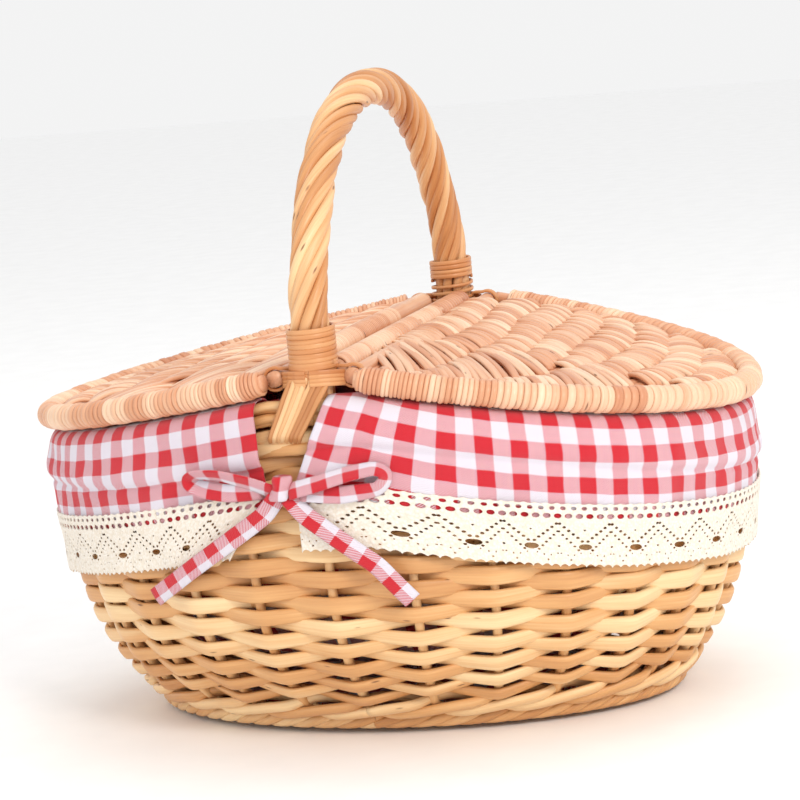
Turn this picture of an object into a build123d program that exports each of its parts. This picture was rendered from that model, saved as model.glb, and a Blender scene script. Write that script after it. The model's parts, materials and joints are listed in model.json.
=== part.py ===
"""Oval willow picnic basket with a fixed bow handle, two hinged half lids and a cloth liner.

Frame: origin at the middle of the foot, on the surface it stands on. +X runs along the length,
the handle stands across it in the YZ plane, -Y is the side with the front bow, +Z is up.
"""

import math
import os

from build123d import *

os.makedirs("parts", exist_ok=True)

# ---- driving dimensions, in millimetres ----
foot_half_length = 143.0
foot_half_width = 84.0
belly_half_length = 189.0
belly_half_width = 146.0
belly_height = 105.0
belly_fullness = 2.3
wall_thickness = 8.5
running_gap = 0.3

rim_top = 189.4  # top of the cloth fold at the middle of the long sides
rim_flat = 25.0  # the rim is level under the handle, then falls towards both ends
lid_slope = {"left": 9.4, "right": 11.2}  # degrees, how the closed lids fall outwards
foot_height = 10.8
lower_wale_top = 29.0
upper_wale = (16.2, 30.0)  # below the fold
border = (2.3, 16.0)  # below the fold

stake_count = 28
stake_radius = 1.8
stake_inset = 12.2
stake_toe_in = 1.6  # how much further in a stake stands at the base

liner_inset = 16.2
cloth = 1.9
flap_inset = -3.6
flap_drop = 46.0
lace_inset = -0.6
lace_drop = 78.0
skirt_floor = 70.0
split = (-30.0, 8.0)  # where the front flaps stop on each side of the handle

bow_half_span = 136.5
bow_spring_height = 214.0
bow_top = 334.0
bow_core_radius = 5.0
bow_radius = 10.2
bow_socket_floor = 108.0
binding_radius = 12.8
binding_bore = 10.9
binding = (197.0, 225.0)

hinge_x = 20.5
hinge_z = 198.0
hinge_stick_radius = 4.2
edge_stick_radius = 6.5
edge_stick_setback = 13.1
edge_stick_ends = {"left": (-122.5, 98.0), "right": (-122.5, 122.5)}
lid_half_length = 200.0
lid_half_width = 155.5
lid_hoop_radius = 4.2
lid_wrap_radius = 7.0
lid_thickness = 9.0
leg_room = 122.0  # the lids are narrowed to this half width beside the handle
leg_room_depth = 9.0

side_sign = {"left": -1, "right": 1}
end_sign = {"front": -1, "back": 1}
section_heights = (10.8, 29.0, 52.0, 80.0)


# ---- the shape of the wall ----
def swell(z):
    """0 at the foot, rising to 1 at the belly and above."""
    below = 1.0 - min(max(z, 0.0) / belly_height, 1.0)
    return 1.0 - below**belly_fullness


def half_length(z):
    return foot_half_length + (belly_half_length - foot_half_length) * swell(z)


def half_width(z):
    return foot_half_width + (belly_half_width - foot_half_width) * swell(z)


def rim_height(x):
    """Height of the cloth fold above a point of the rim."""
    slope = math.tan(math.radians(lid_slope["left" if x < 0 else "right"]))
    return rim_top - max(abs(x) - rim_flat, 0.0) * slope


def wall_form(inset, low, high, mode=Mode.ADD):
    """The basket's solid form between two heights, drawn in from the weave by inset.

    It swells up to the belly and stands straight above it.
    """
    if low < belly_height:
        top = min(high, belly_height)
        between = [z for z in section_heights if low + 1 < z < top - 1]
        levels = []
        for z in (low, *between, top):
            with BuildSketch(Plane.XY.offset(z)) as level:
                Ellipse(half_length(z) - inset, half_width(z) - inset)
            levels.append(level.sketch)
        loft(levels, mode=mode)
    if high > belly_height:
        foot = max(low, belly_height)
        with BuildSketch(Plane.XY.offset(foot)) as level:
            Ellipse(belly_half_length - inset, belly_half_width - inset)
        extrude(level.sketch, amount=high - foot, mode=mode)


def upright_form(inset, low, high, mode=Mode.ADD):
    """An upright oval band as wide as the belly."""
    with BuildSketch(Plane.XY.offset(low)) as level:
        Ellipse(belly_half_length - inset, belly_half_width - inset)
    extrude(level.sketch, amount=high - low, mode=mode)


def keep_below_rim(top, bottom=None):
    """Keep what lies between two lines that follow the rim, or all that is below the first."""
    far = 230.0
    across = (-far, -rim_flat, rim_flat, far)
    upper = [(x, rim_height(x) - top) for x in across]
    if bottom is None:
        lower = [(far, 0), (-far, 0)]
    else:
        lower = [(x, rim_height(x) - bottom) for x in reversed(across)]
    with BuildSketch(Plane.XZ) as side_view:
        with BuildLine():
            Polyline(*upper, *lower, close=True)
        make_face()
    extrude(side_view.sketch, amount=260, both=True, mode=Mode.INTERSECT)


def leg_sockets():
    """Room for the two ends of the bow, which are pushed down into the wall."""
    for sign in end_sign.values():
        with Locations((0, sign * bow_half_span, bow_socket_floor + 60)):
            Cylinder(bow_core_radius + running_gap, 120, mode=Mode.SUBTRACT)


def save(built, label):
    built.part.label = label
    export_step(built.part, f"parts/{label}.step")


# ---- base: a cross of sticks woven round, with a border to stand on ----
base_inset = 9.4
long_stick_height = 6.95
cross_stick_height = 2.9
base_stick_radius = 2.0
long_stick_rows = [y * 15.0 for y in range(-3, 4)]
cross_stick_rows = [x * 22.0 for x in range(-5, 6)]


def base_reach(across, half_across, half_along):
    """Half the chord of the base at a given distance from its middle."""
    return half_along * math.sqrt(1.0 - (across / half_across) ** 2) - base_inset - 4.0


def long_sticks(radius, mode=Mode.ADD):
    for y in long_stick_rows:
        reach = base_reach(y, foot_half_width, foot_half_length)
        with Locations(Location((0, y, long_stick_height), (0, 90, 0))):
            Cylinder(radius, 2 * reach, mode=mode)


def cross_sticks(radius, mode=Mode.ADD):
    for x in cross_stick_rows:
        reach = base_reach(x, foot_half_length, foot_half_width)
        with Locations(Location((x, 0, cross_stick_height), (90, 0, 0))):
            Cylinder(radius, 2 * reach, mode=mode)


with BuildPart() as base_long_sticks:
    long_sticks(base_stick_radius)
save(base_long_sticks, "base_long_sticks")

with BuildPart() as base_cross_sticks:
    cross_sticks(base_stick_radius)
save(base_cross_sticks, "base_cross_sticks")

with BuildPart() as base_weave:
    with BuildSketch(Plane.XY.offset(0.5)):
        Ellipse(foot_half_length - base_inset, foot_half_width - base_inset)
    extrude(amount=8.8)
    long_sticks(base_stick_radius + 0.1, Mode.SUBTRACT)
    cross_sticks(base_stick_radius + 0.1, Mode.SUBTRACT)
save(base_weave, "base_weave")

with BuildPart() as foot_border:
    wall_form(0.0, 0.0, foot_height)
    wall_form(9.0, 0.0, foot_height, Mode.SUBTRACT)
save(foot_border, "foot_border")


# ---- side: stakes, two bands of waling, the randed weave and the rim border ----
def stake_point(angle, z, inset=stake_inset):
    return (
        (half_length(z) - inset) * math.cos(angle),
        (half_width(z) - inset) * math.sin(angle),
        z,
    )


with BuildPart() as side_stakes:
    for i in range(stake_count):
        angle = 2 * math.pi * (i + 0.5) / stake_count
        low = stake_point(angle, foot_height + 2.6, stake_inset + stake_toe_in)
        belly = stake_point(angle, belly_height)
        high = rim_height(belly_half_length * math.cos(angle)) - border[1] - 1.0
        with BuildLine() as route:
            Line((belly[0], belly[1], high), belly)
            TangentArc(belly, low, tangent=(0, 0, -1))
        with BuildSketch(Plane(origin=(belly[0], belly[1], high), z_dir=(0, 0, -1))):
            Circle(stake_radius)
        sweep(path=route.line)
save(side_stakes, "side_stakes")

with BuildPart() as wale_lower:
    wall_form(0.0, foot_height, lower_wale_top)
    wall_form(wall_thickness, foot_height, lower_wale_top, Mode.SUBTRACT)
save(wale_lower, "wale_lower")

with BuildPart() as side_weave:
    wall_form(0.0, lower_wale_top, rim_top)
    wall_form(wall_thickness, lower_wale_top, rim_top, Mode.SUBTRACT)
    keep_below_rim(upper_wale[1])
    leg_sockets()
save(side_weave, "side_weave")

with BuildPart() as wale_upper:
    upright_form(-0.5, belly_height, rim_top)
    upright_form(wall_thickness, belly_height, rim_top, Mode.SUBTRACT)
    keep_below_rim(*upper_wale)
    leg_sockets()
save(wale_upper, "wale_upper")

with BuildPart() as rim_border:
    upright_form(-1.5, belly_height, rim_top)
    upright_form(14.0, belly_height, rim_top, Mode.SUBTRACT)
    keep_below_rim(*border)
    leg_sockets()
save(rim_border, "rim_border")


# ---- bow handle: a core rod, rods twisted round it, cane bindings and rod tails ----
def bow_path(foot):
    """One side up, over the half-ellipse and down the other side."""
    with BuildLine(Plane.YZ) as bow:
        Line((-bow_half_span, foot), (-bow_half_span, bow_spring_height))
        rise = bow_top - bow_spring_height
        EllipticalCenterArc((0, bow_spring_height), bow_half_span, rise, 0, arc_size=180)
        Line((bow_half_span, bow_spring_height), (bow_half_span, foot))
    return bow.line


with BuildPart() as handle_core:
    core_line = bow_path(bow_socket_floor + 1.0)
    with BuildSketch(Plane.XY.offset(bow_socket_floor + 1.0)):
        with Locations((0, -bow_half_span)):
            Circle(bow_core_radius)
    sweep(path=core_line)
save(handle_core, "handle_core")

with BuildPart() as handle_rods:
    rods_line = bow_path(rim_top + 0.2)
    with BuildSketch(Plane.XY.offset(rim_top + 0.2)):
        with Locations((0, -bow_half_span)):
            Circle(bow_radius)
            Circle(bow_core_radius + 0.1, mode=Mode.SUBTRACT)
    sweep(path=rods_line)
save(handle_rods, "handle_rods")

for end, sign in end_sign.items():
    with BuildPart() as handle_binding:
        with BuildSketch(Plane.XY.offset(binding[0])):
            with Locations((0, sign * bow_half_span)):
                Circle(binding_radius)
                Circle(binding_bore, mode=Mode.SUBTRACT)
        extrude(amount=binding[1] - binding[0])
    save(handle_binding, f"handle_binding_{end}")

    with BuildPart() as handle_tails:
        tail_radius = 1.7
        tail_y = sign * (belly_half_width + 1.5 + tail_radius + 0.7)
        for i in range(7):
            top = Vector(sign * (14.0 - 3.7 * i), tail_y, binding[0] - 1.0)
            foot = top + Vector(sign * 14.0, 0, -34.0)
            if sign * top.X > 11:
                continue
            lean = foot - top
            with BuildSketch(Plane(origin=top, z_dir=lean.normalized())):
                Circle(tail_radius)
            extrude(amount=lean.length)
    save(handle_tails, f"handle_tails_{end}")

# ---- cane loops that hold the lids' hinge sticks to the foot of the bow ----
loop_width = 4.0
loop_outer = 7.2
for end, sign in end_sign.items():
    for side, turn in side_sign.items():
        with BuildPart() as hinge_loop:
            at = Plane(
                origin=(turn * hinge_x, sign * bow_half_span - loop_width / 2, hinge_z),
                z_dir=(0, 1, 0),
            )
            with BuildSketch(at):
                Circle(loop_outer)
            extrude(amount=loop_width)
            tie_length = hinge_x - binding_radius - 0.1
            with Locations((turn * (hinge_x - tie_length / 2), sign * bow_half_span, hinge_z + 2.0)):
                Box(tie_length, loop_width, 4.0)
            with BuildSketch(at):
                Circle(hinge_stick_radius + running_gap + 0.1)
            extrude(amount=loop_width, mode=Mode.SUBTRACT)
        save(hinge_loop, f"hinge_loop_{end}_{side}")


# ---- lids: two sticks and a bent hoop, filled with woven ribs, the hoop wrapped ----
def lid_plane(side):
    """A closed lid's middle plane: origin on its hinge axis, local x outwards."""
    turn = side_sign[side]
    fall = math.radians(lid_slope[side])
    return Plane(
        origin=(turn * hinge_x, 0, hinge_z),
        x_dir=(turn * math.cos(fall), 0, -math.sin(fall)),
        z_dir=(turn * math.sin(fall), 0, math.cos(fall)),
    )


def lid_ellipse(side):
    """Centre and half sizes, in the lid's plane, of the line down the middle of the hoop."""
    stretch = 1.0 / math.cos(math.radians(lid_slope[side]))
    centre = -hinge_x * stretch
    return centre, lid_half_length * stretch - lid_wrap_radius, lid_half_width - lid_wrap_radius


def hoop_sweep(side, outer, inner=None):
    """Sweep a round or ring section along the lid's curved border."""
    centre, along, across = lid_ellipse(side)
    start = math.degrees(math.acos((3.0 - centre) / along))
    with BuildLine(lid_plane(side)) as hoop:
        EllipticalCenterArc((centre, 0), along, across, -start, arc_size=2 * start)
    with BuildSketch(Plane(origin=hoop.line @ 0, z_dir=hoop.line % 0)) as section:
        Circle(outer)
        if inner:
            Circle(inner, mode=Mode.SUBTRACT)
    sweep(section.sketch, path=hoop.line)


def lid_stick(side, setback, radius, low, high, mode=Mode.ADD):
    """A straight stick that runs along the hinge line."""
    mid = (low + high) / 2 * side_sign[side]
    place = lid_plane(side) * Location((-setback, mid, 0), (90, 0, 0))
    with Locations(place):
        Cylinder(radius, high - low, mode=mode)


def lid_ribs(side, radius, mode=Mode.ADD):
    """Thin rods from the hinge stick out to the hoop."""
    centre, along, across = lid_ellipse(side)
    for row in range(-9, 10):
        y = 14.5 * row
        start = hinge_stick_radius + 0.4 if abs(y) < leg_room - 3 else leg_room_depth + 1.0
        reach = centre + along * math.sqrt(1 - (y / across) ** 2)
        tilt = math.atan2(abs(y) / across**2, (reach - centre) / along**2)
        reach -= (lid_wrap_radius + 1.2 + 2.0 * math.sin(tilt)) / math.cos(tilt)
        place = lid_plane(side) * Location(((start + reach) / 2, y, 0), (0, 90, 0))
        with Locations(place):
            Cylinder(radius, reach - start, mode=mode)


for side, turn in side_sign.items():
    low, high = edge_stick_ends[side]
    hinge_half = lid_half_width - 2 * lid_wrap_radius - 2.0

    with BuildPart() as lid_hinge_stick:
        lid_stick(side, 0.0, hinge_stick_radius, -hinge_half, hinge_half)
    save(lid_hinge_stick, f"lid_{side}_hinge_stick")

    with BuildPart() as lid_edge_stick:
        lid_stick(side, edge_stick_setback, edge_stick_radius, low, high)
    save(lid_edge_stick, f"lid_{side}_edge_stick")

    with BuildPart() as lid_hoop:
        hoop_sweep(side, lid_hoop_radius)
    save(lid_hoop, f"lid_{side}_hoop")

    with BuildPart() as lid_wrap:
        hoop_sweep(side, lid_wrap_radius, lid_hoop_radius + 0.1)
    save(lid_wrap, f"lid_{side}_border_wrap")

    with BuildPart() as lid_rib_group:
        lid_ribs(side, 1.9)
    save(lid_rib_group, f"lid_{side}_ribs")

    with BuildPart() as lid_weave:
        centre, along, across = lid_ellipse(side)
        inner_edge = edge_stick_radius - edge_stick_setback + 0.2
        weave_inset = lid_wrap_radius + 0.4
        with BuildSketch(lid_plane(side)):
            with Locations((centre, 0)):
                Ellipse(along - weave_inset, across - weave_inset)
            with Locations((inner_edge + 150, 0)):
                Rectangle(300, 400, mode=Mode.INTERSECT)
            for corner in (-1, 1):
                with Locations((leg_room_depth - 20, corner * (leg_room + 30))):
                    Rectangle(40, 60, mode=Mode.SUBTRACT)
        extrude(amount=lid_thickness / 2, both=True)
        lid_ribs(side, 2.0, Mode.SUBTRACT)
        lid_stick(side, 0.0, hinge_stick_radius + 0.1, -160, 160, Mode.SUBTRACT)
    save(lid_weave, f"lid_{side}_weave")


# ---- cloth liner: a bag inside, two flaps folded over the rim, lace on their hems ----
def keep_flap_side(turn):
    """Keep one end of the basket, up to the slits that let the handle through."""
    front_edge = split[1] if turn > 0 else split[0]
    back_edge = -split[0] if turn > 0 else -split[1]
    far = turn * 300
    with BuildSketch(Plane.XY) as plan:
        with BuildLine():
            Polyline(
                (front_edge, -260), (far, -260), (far, 260), (back_edge, 260),
                (back_edge, 0), (front_edge, 0), close=True,
            )
        make_face()
    extrude(plan.sketch, amount=300, mode=Mode.INTERSECT)


with BuildPart() as liner_bag:
    bag_floor = foot_height + 0.2
    wall_form(liner_inset, bag_floor, rim_top)
    wall_form(liner_inset + cloth, bag_floor + cloth, rim_top, Mode.SUBTRACT)
    keep_below_rim(cloth + 0.1)
save(liner_bag, "liner_bag")

for side, turn in side_sign.items():
    with BuildPart() as liner_flap:
        upright_form(flap_inset - cloth - 0.4, skirt_floor, rim_top)
        upright_form(liner_inset + cloth, skirt_floor, rim_top, Mode.SUBTRACT)
        keep_below_rim(0.0, flap_drop)
        with BuildPart(mode=Mode.PRIVATE) as under_fold:
            upright_form(flap_inset, skirt_floor - 5, rim_top)
            keep_below_rim(cloth)
        add(under_fold.part, mode=Mode.SUBTRACT)
        keep_flap_side(turn)
    save(liner_flap, f"liner_flap_{side}")

    with BuildPart() as lace:
        upright_form(lace_inset - cloth, skirt_floor, rim_top)
        upright_form(lace_inset, skirt_floor, rim_top, Mode.SUBTRACT)
        keep_below_rim(flap_drop + 0.3, lace_drop)
        keep_flap_side(turn)
    save(lace, f"lace_{side}")


# ---- ties of the flaps, knotted in a bow over each split ----
tie_width = 10.0
tie_thick = 1.6
bow_at = (-16.6, 146.0)  # across and up, on the front
bow_stand_off = 8.6


def on_side(x, z, stand_off):
    """A point of the front, stand_off outside the weave."""
    along = half_length(z) + stand_off
    return Vector(x, -(half_width(z) + stand_off) * math.sqrt(1 - (x / along) ** 2), z)


def strap(points, width=tie_width, thick=tie_thick):
    """A flat strap along a list of (across, up, stand_off) points of the front."""
    route = [on_side(*point) for point in points]
    sections = []
    for i, here in enumerate(route):
        along = route[min(i + 1, len(route) - 1)] - route[max(i - 1, 0)]
        outward = Vector(here.X / half_length(here.Z) ** 2, here.Y / half_width(here.Z) ** 2, 0)
        with BuildSketch(Plane(origin=here, z_dir=along, x_dir=along.cross(outward))) as section:
            Rectangle(width, thick)
        sections.append(section.sketch)
    loft(sections, ruled=True)


bow_loops = {
    "left": [(-26, 146.5, 9.5), (-38, 153, 10.5), (-52, 154, 10.5), (-64, 150.5, 10.0)],
    "right": [(-7, 146.5, 9.5), (4, 151, 10.5), (18, 152, 10.5), (33, 149, 10.0)],
}
bow_tails = {
    "left": [(-26, 133, 9.0), (-44, 122, 6.5), (-68, 107, 6.0), (-99, 86, 5.5)],
    "right": [(-7, 133, 9.0), (10, 118, 6.5), (28, 104, 6.0), (43, 85, 5.5)],
}

for end, sign in end_sign.items():
    half_turn = 0 if end == "front" else 180

    with BuildPart() as bow_knot:
        with Locations(on_side(bow_at[0], bow_at[1], bow_stand_off + 3.0)):
            Box(12.0, 9.0, 13.0)
        fillet(bow_knot.edges(), 3.0)
    bow_knot.part = bow_knot.part.rotate(Axis.Z, half_turn)
    save(bow_knot, f"bow_{end}_knot")

    with BuildPart() as bow_loop_pair:
        for route in bow_loops.values():
            strap(route, tie_width + 3, 4.0)
    bow_loop_pair.part = bow_loop_pair.part.rotate(Axis.Z, half_turn)
    save(bow_loop_pair, f"bow_{end}_loops")

    with BuildPart() as bow_tail_pair:
        for route in bow_tails.values():
            strap(route)
    bow_tail_pair.part = bow_tail_pair.part.rotate(Axis.Z, half_turn)
    save(bow_tail_pair, f"bow_{end}_tails")
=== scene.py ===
# %% [markdown]
# # A willow picnic basket
# The basket is an oval wall woven on upright stakes, with a bow handle across the middle,
# two half lids that hinge at the foot of the bow, and a checked cloth liner with lace hems.
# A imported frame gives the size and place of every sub-part, and each woven piece is
# made here as a bundle of bent rods laid where its plain part stands.

# %% Load the frame
import bpy
import json
import math
import numpy as np
from mathutils import Matrix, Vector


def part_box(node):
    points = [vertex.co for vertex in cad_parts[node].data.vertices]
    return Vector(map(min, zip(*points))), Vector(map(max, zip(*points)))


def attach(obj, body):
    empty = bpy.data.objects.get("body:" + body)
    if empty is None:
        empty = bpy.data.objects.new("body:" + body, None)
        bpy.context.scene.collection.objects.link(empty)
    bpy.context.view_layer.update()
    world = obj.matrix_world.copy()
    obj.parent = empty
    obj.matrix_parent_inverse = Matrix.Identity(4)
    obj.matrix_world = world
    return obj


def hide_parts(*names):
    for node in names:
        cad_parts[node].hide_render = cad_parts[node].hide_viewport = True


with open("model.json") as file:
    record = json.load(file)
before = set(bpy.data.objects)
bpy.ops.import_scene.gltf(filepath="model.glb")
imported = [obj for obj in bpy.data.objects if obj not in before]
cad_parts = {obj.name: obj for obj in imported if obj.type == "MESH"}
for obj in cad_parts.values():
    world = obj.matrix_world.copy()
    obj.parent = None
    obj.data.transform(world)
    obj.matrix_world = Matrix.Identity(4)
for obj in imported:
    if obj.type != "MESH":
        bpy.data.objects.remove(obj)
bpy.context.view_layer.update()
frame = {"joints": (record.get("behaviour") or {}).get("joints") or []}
rng = np.random.default_rng(28)
mm = 0.001

# %% [markdown]
# ## Sizes read from the frame
# The wall swells from the foot to the belly and stands straight above it. The belly's half
# sizes are those of the side weave, and the foot's follow from the foot border, which is a
# known way up the swell. The rim falls from under the handle towards both ends, as the lids do.

# %% Size of the wall
weave_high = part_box("side_weave")[1]
foot_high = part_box("foot_border")[1]
belly_height = 105 * mm
belly_fullness = 2.3
belly = np.array([weave_high.x, weave_high.y])


def swell(height):
    """0 at the foot, rising to 1 at the belly and above."""
    below = 1.0 - np.clip(np.asarray(height, float) / belly_height, 0.0, 1.0)
    return 1.0 - below**belly_fullness


foot_swell = float(swell(foot_high.z))
foot = (np.array([foot_high.x, foot_high.y]) - belly * foot_swell) / (1 - foot_swell)
print("foot half sizes (mm):", (foot / mm).round(1), "belly:", (belly / mm).round(1))

# %% Height of the rim
rim_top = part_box("liner_flap_right")[1].z
rim_flat = 25 * mm
lid_fall = {"left": math.radians(9.4), "right": math.radians(11.2)}
side_sign = {"left": -1, "right": 1}
end_sign = {"front": -1, "back": 1}


def rim_drop(x):
    """How far the rim has fallen at a distance along the basket."""
    slope = np.where(np.asarray(x) < 0, math.tan(lid_fall["left"]), math.tan(lid_fall["right"]))
    return np.maximum(np.abs(x) - rim_flat, 0) * slope


def rim_at(turn):
    """Height of the rim at an angle round the basket."""
    return rim_top - rim_drop(belly[0] * np.cos(turn))


print("rim top (mm):", round(rim_top / mm, 1))

# %% Points of the wall
def wall_half(height):
    """Half sizes of the wall's oval at a height."""
    rise = swell(height)
    return foot[0] + (belly[0] - foot[0]) * rise, foot[1] + (belly[1] - foot[1]) * rise


def on_wall(turn, height, out):
    """Points `out` outside the weave's skin, and the directions that face away from it."""
    turn, height, out = np.broadcast_arrays(turn, np.asarray(height, float), out)
    a, b = wall_half(height)
    x, y = a * np.cos(turn), b * np.sin(turn)
    step = 0.5 * mm
    grow = (swell(height + step) - swell(height - step)) / (2 * step)
    lean = (belly[0] - foot[0]) * x * x / a**3 + (belly[1] - foot[1]) * y * y / b**3
    away = np.stack([x / a**2, y / b**2, -lean * grow], -1)
    away /= np.linalg.norm(away, axis=-1, keepdims=True)
    return np.stack([x, y, height], -1) + away * out[..., None], away


# %% [markdown]
# ## One maker for every rod
# A willow rod is a long tapering shoot, and soaked it flattens a little where it bends round
# a stake. So a rod here is a line with a width, a thickness and an outward direction at each
# point, and a soft-cornered ring is drawn round each point. Many rods go into one mesh.
# Each rod also carries its own tone, and a grain coordinate that runs along it, so that
# one willow finish gives every rod its own colour and streaks.

# %% Small helpers
def unit(vectors):
    """The same directions, each with a length of one."""
    return vectors / np.maximum(np.linalg.norm(vectors, axis=-1, keepdims=True), 1e-12)


def smooth(t):
    """An eased step from 0 to 1."""
    t = np.clip(t, 0.0, 1.0)
    return t * t * (3 - 2 * t)


def run_along(points):
    """How far each point lies from the first, measured along the points."""
    return np.concatenate([[0], np.cumsum(np.linalg.norm(np.diff(points, axis=0), axis=1))])


# %% Mesh from arrays
def make_mesh(name, points, quads, triangles, facts):
    """A smooth-shaded mesh, with a value or a vector stored on each point for each fact."""
    mesh = bpy.data.meshes.new(name)
    points = np.asarray(points, np.float32)
    quads = np.asarray(quads, np.int32).reshape(-1, 4)
    triangles = np.asarray(triangles, np.int32).reshape(-1, 3)
    loops = np.concatenate([quads.ravel(), triangles.ravel()])
    starts = np.concatenate([
        np.arange(len(quads)) * 4,
        len(quads) * 4 + np.arange(len(triangles)) * 3,
    ])
    mesh.vertices.add(len(points))
    mesh.vertices.foreach_set("co", points.ravel())
    mesh.loops.add(len(loops))
    mesh.loops.foreach_set("vertex_index", loops)
    mesh.polygons.add(len(starts))
    mesh.polygons.foreach_set("loop_start", starts.astype(np.int32))
    mesh.polygons.foreach_set("use_smooth", np.ones(len(starts), bool))
    mesh.update(calc_edges=True)
    for fact, values in facts.items():
        values = np.asarray(values, np.float32)
        kind = "FLOAT" if values.ndim == 1 else "FLOAT_VECTOR"
        layer = mesh.attributes.new(fact, kind, "POINT")
        layer.data.foreach_set("value" if values.ndim == 1 else "vector", values.ravel())
    mesh.validate()
    piece = bpy.data.objects.new(name, mesh)
    bpy.context.scene.collection.objects.link(piece)
    return piece


# %% Bundle of rods
class Rods:
    """Rods gathered into one mesh."""

    def __init__(self, sides=10, squareness=0.82):
        self.ring = 2 * math.pi * (np.arange(sides) + 0.5) / sides
        self.squareness = squareness
        self.points, self.quads, self.triangles, self.grain, self.tone = [], [], [], [], []
        self.used = 0
        self.count = 0

    def lay(self, line, outward, half_wide, half_thick, tone=None):
        """Add a rod along a line, flattened against the surface that outward faces."""
        line = np.asarray(line, float)
        count = len(line)
        outward = np.broadcast_to(np.asarray(outward, float), line.shape)
        along = unit(np.gradient(line, axis=0))
        across = unit(np.cross(along, outward))
        facing = unit(np.cross(across, along))
        wide = np.broadcast_to(half_wide, (count,))[:, None]
        thick = np.broadcast_to(half_thick, (count,))[:, None]
        c, s = np.cos(self.ring), np.sin(self.ring)
        x = np.sign(c) * np.abs(c) ** self.squareness * wide
        y = np.sign(s) * np.abs(s) ** self.squareness * thick
        rings = line[:, None] + across[:, None] * x[..., None] + facing[:, None] * y[..., None]
        sides = len(self.ring)
        length = run_along(line)
        shift = rng.uniform(0, 40, 3)
        grain = np.stack([np.repeat(length[:, None], sides, 1), x, y], -1) + shift
        self.points.append(rings.reshape(-1, 3))
        self.grain.append(grain.reshape(-1, 3))
        tone = rng.uniform() if tone is None else tone
        self.tone.append(np.full(count * sides, tone))
        first = np.arange(count - 1)[:, None] * sides
        after = first + sides
        k = np.arange(sides)[None]
        turn = (k + 1) % sides
        quads = np.stack([first + k, first + turn, after + turn, after + k], -1).reshape(-1, 4)
        self.quads.append(quads + self.used)
        self.used += count * sides
        for end, order in ((0, (1, 0)), (count - 1, (0, 1))):
            self.points.append(line[end][None])
            self.grain.append(grain[end].mean(0)[None])
            self.tone.append([tone * 0.6])
            base = self.used - count * sides - (1 if end else 0)
            rim = base + end * sides + np.arange(sides)
            pair = np.stack([rim, np.roll(rim, -1)], -1)[:, order]
            self.triangles.append(np.column_stack([pair, np.full(sides, self.used)]))
            self.used += 1
        self.count += 1

    def piece(self, name):
        """The gathered rods as one mesh."""
        facts = {"grain": np.concatenate(self.grain), "tone": np.concatenate(self.tone)}
        faces = np.concatenate(self.quads), np.concatenate(self.triangles)
        made = make_mesh(name, np.concatenate(self.points), *faces, facts)
        print(f"{name}: {self.count} rods, {len(made.data.polygons)} faces")
        return made


# %% Placing a finished piece
def fit(piece, finish, body, *nodes):
    """Give a piece its finish, let it ride on a body, and stand it for its plain sub-parts."""
    piece.data.materials.append(finish)
    # the frame's plain finishes have the same names, so a number may follow this one's
    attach(piece, body)
    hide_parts(*nodes)


# %% [markdown]
# ## The willow finish
# Buff willow is boiled and peeled: warm tan, satin, darker in the grooves, with streaks along
# the rod, slow changes of tone from rod to rod, and small dark eyes where buds stood.
# Streaks come from noise that is stretched along the grain coordinate, the eyes from
# scattered cells, and the same noise lifts the surface a little.

# %% Colour helper
def shade(red, green, blue):
    """A display colour, 0 to 255, as the linear colour that shaders want."""
    linear = []
    for value in (red, green, blue):
        value /= 255
        linear.append(value / 12.92 if value <= 0.04045 else ((value + 0.055) / 1.055) ** 2.4)
    return (*linear, 1.0)


# %% Node helpers
class Finish:
    """A material and short ways to add its nodes."""

    def __init__(self, name):
        self.material = bpy.data.materials.new(name)
        self.material.use_nodes = True
        self.tree = self.material.node_tree
        self.shader = self.tree.nodes["Principled BSDF"]

    def put(self, kind, settings=None, **inputs):
        node = self.tree.nodes.new("ShaderNode" + kind)
        for key, value in (settings or {}).items():
            setattr(node, key, value)
        for key, value in inputs.items():
            place = int(key[1:]) if key[0] == "i" and key[1:].isdigit() else key.replace("_", " ")
            self.feed(node.inputs[place], value)
        return node

    def feed(self, socket, value):
        if isinstance(value, bpy.types.NodeSocket):
            self.tree.links.new(value, socket)
        else:
            socket.default_value = value

    def math(self, operation, *values):
        node = self.put("Math", {"operation": operation})
        for socket, value in zip(node.inputs, values):
            self.feed(socket, value)
        return node.outputs[0]

    def fact(self, name, output="Vector"):
        return self.put("Attribute", {"attribute_name": name}).outputs[output]

    def stretch(self, vector, factors):
        node = self.put("VectorMath", {"operation": "MULTIPLY"}, i0=vector, i1=factors)
        return node.outputs[0]

    def noise(self, vector, detail=3.0, scale=1.0):
        return self.put("TexNoise", Vector=vector, Scale=scale, Detail=detail).outputs[0]

    def ripple(self, coordinate, length):
        """A sine wave along a coordinate."""
        return self.math("SINE", self.math("MULTIPLY", coordinate, 2 * math.pi / length))

    def ramp(self, factor, stops):
        node = self.put("ValToRGB", Fac=factor)
        colours = node.color_ramp.elements
        while len(colours) < len(stops):
            colours.new(1.0)
        for element, (place, colour) in zip(colours, stops):
            element.position = place
            element.color = colour
        return node.outputs[0]

    def mix(self, factor, first, second, blend="MIX"):
        node = self.put("Mix", {"data_type": "RGBA", "blend_type": blend})
        self.feed(node.inputs[0], factor)
        self.feed(node.inputs[6], first)
        self.feed(node.inputs[7], second)
        return node.outputs[2]

    def bump(self, height, distance, strength=1.0):
        made = self.put("Bump", Height=height, Distance=distance, Strength=strength)
        self.surface(Normal=made.outputs[0])

    def surface(self, **values):
        """Set or link sockets of the shader, such as Roughness."""
        for key, value in values.items():
            self.feed(self.shader.inputs[key.replace("_", " ")], value)


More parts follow.
